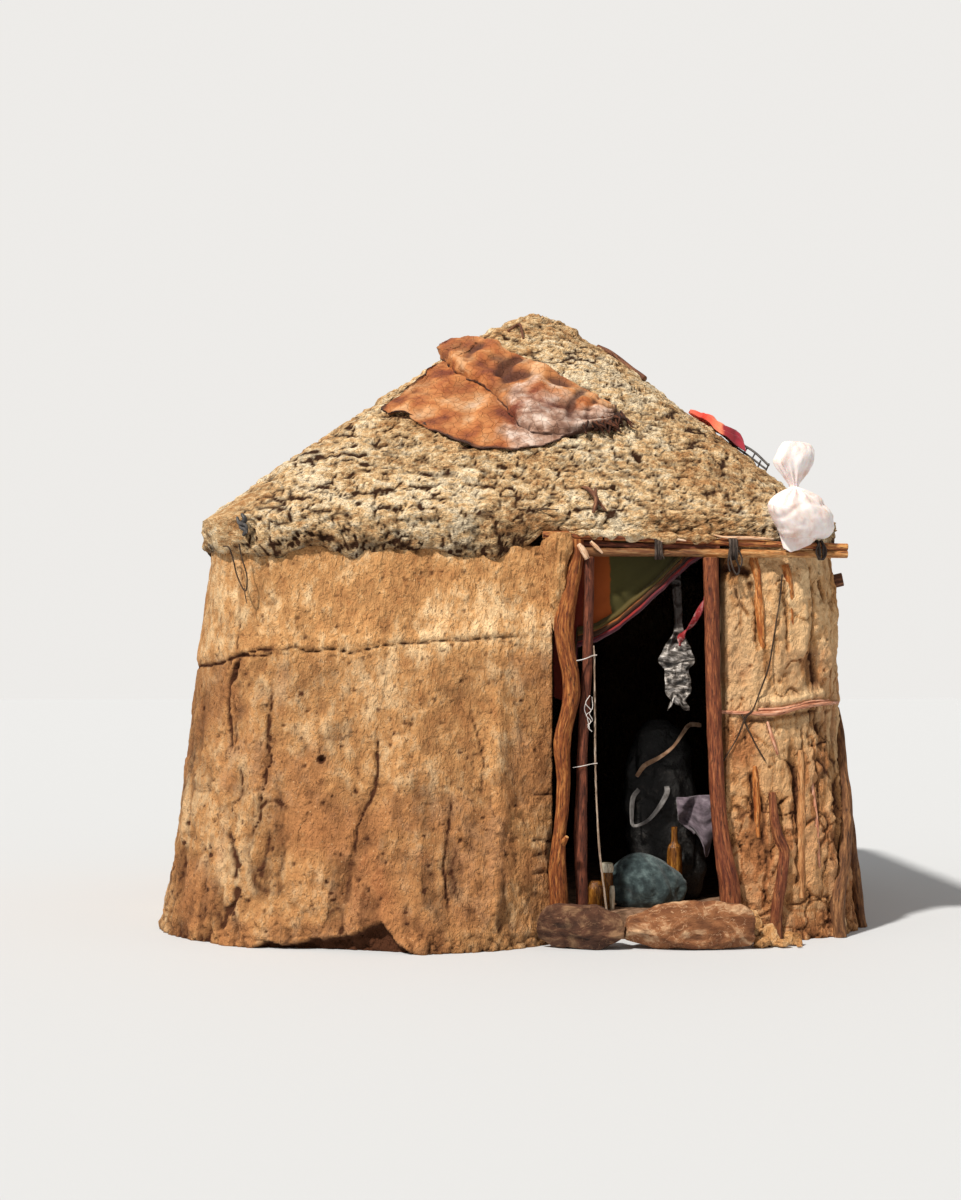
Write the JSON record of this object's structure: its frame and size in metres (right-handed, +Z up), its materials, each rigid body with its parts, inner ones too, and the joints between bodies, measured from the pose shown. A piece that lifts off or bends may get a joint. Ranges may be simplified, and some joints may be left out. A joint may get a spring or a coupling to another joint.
{
  "type": "mud-plastered pole hut",
  "caption": "Small hut with a rounded-square plan, thick mud-plastered walls, a pole-framed doorway and a blunt mud-covered roof on bent rafters.",
  "frame": {"origin": "on the ground under the middle of the earth floor", "axes": "+Z up, the doorway faces -Y, +X to the right of someone who faces the doorway"},
  "size_m": [2.5596, 2.588, 2.32],
  "materials": {
    "wall_mud": "rough",
    "roof_mud": "rough",
    "beaten_earth": "rough",
    "bark_wood": "rough",
    "red_wood": "rough",
    "rock": "rough",
    "hide": "matt",
    "woven_sack": "satin",
    "red_cotton": "matt",
    "curtain_cloth": "matt",
    "dark_plastic": "satin",
    "bag_cloth": "matt",
    "rag_cloth": "matt"
  },
  "bodies": {
    "root": {"earth_floor": "beaten_earth", "front_wall_left": "wall_mud", "front_wall_right": "wall_mud", "right_wall": "wall_mud", "back_right_corner_wall": "wall_mud", "back_wall": "wall_mud", "back_left_corner_wall": "wall_mud", "left_wall": "wall_mud", "front_left_corner_wall": "wall_mud", "front_plate_pole": "bark_wood", "right_plate_pole": "bark_wood", "back_plate_pole": "bark_wood", "left_plate_pole": "bark_wood", "crooked_door_post": "bark_wood", "leaning_poles": "bark_wood", "centre_post": "bark_wood", "crown_beam": "bark_wood", "crown_hoop": "bark_wood", "lath_hoops": "bark_wood", "front_rafters": "bark_wood", "right_rafters": "bark_wood", "back_rafters": "bark_wood", "left_rafters": "bark_wood", "straight_door_post": "red_wood", "right_door_post": "red_wood", "lower_lintel_pole": "red_wood", "upper_lintel_pole": "red_wood", "panel_poles": "red_wood", "front_roof_mud": "roof_mud", "front_right_roof_mud": "roof_mud", "right_roof_mud": "roof_mud", "back_right_roof_mud": "roof_mud", "back_roof_mud": "roof_mud", "back_left_roof_mud": "roof_mud", "left_roof_mud": "roof_mud", "front_left_roof_mud": "roof_mud", "roof_crown": "roof_mud", "left_threshold_stone": "rock", "right_threshold_stone": "rock", "flat_hide": "hide", "folded_hide": "hide", "tied_sack": "woven_sack", "red_cloth": "red_cotton", "door_curtain": "curtain_cloth", "bundle": "dark_plastic", "standing_bag": "bag_cloth", "hanging_rag": "rag_cloth"}
  },
  "joints": []
}
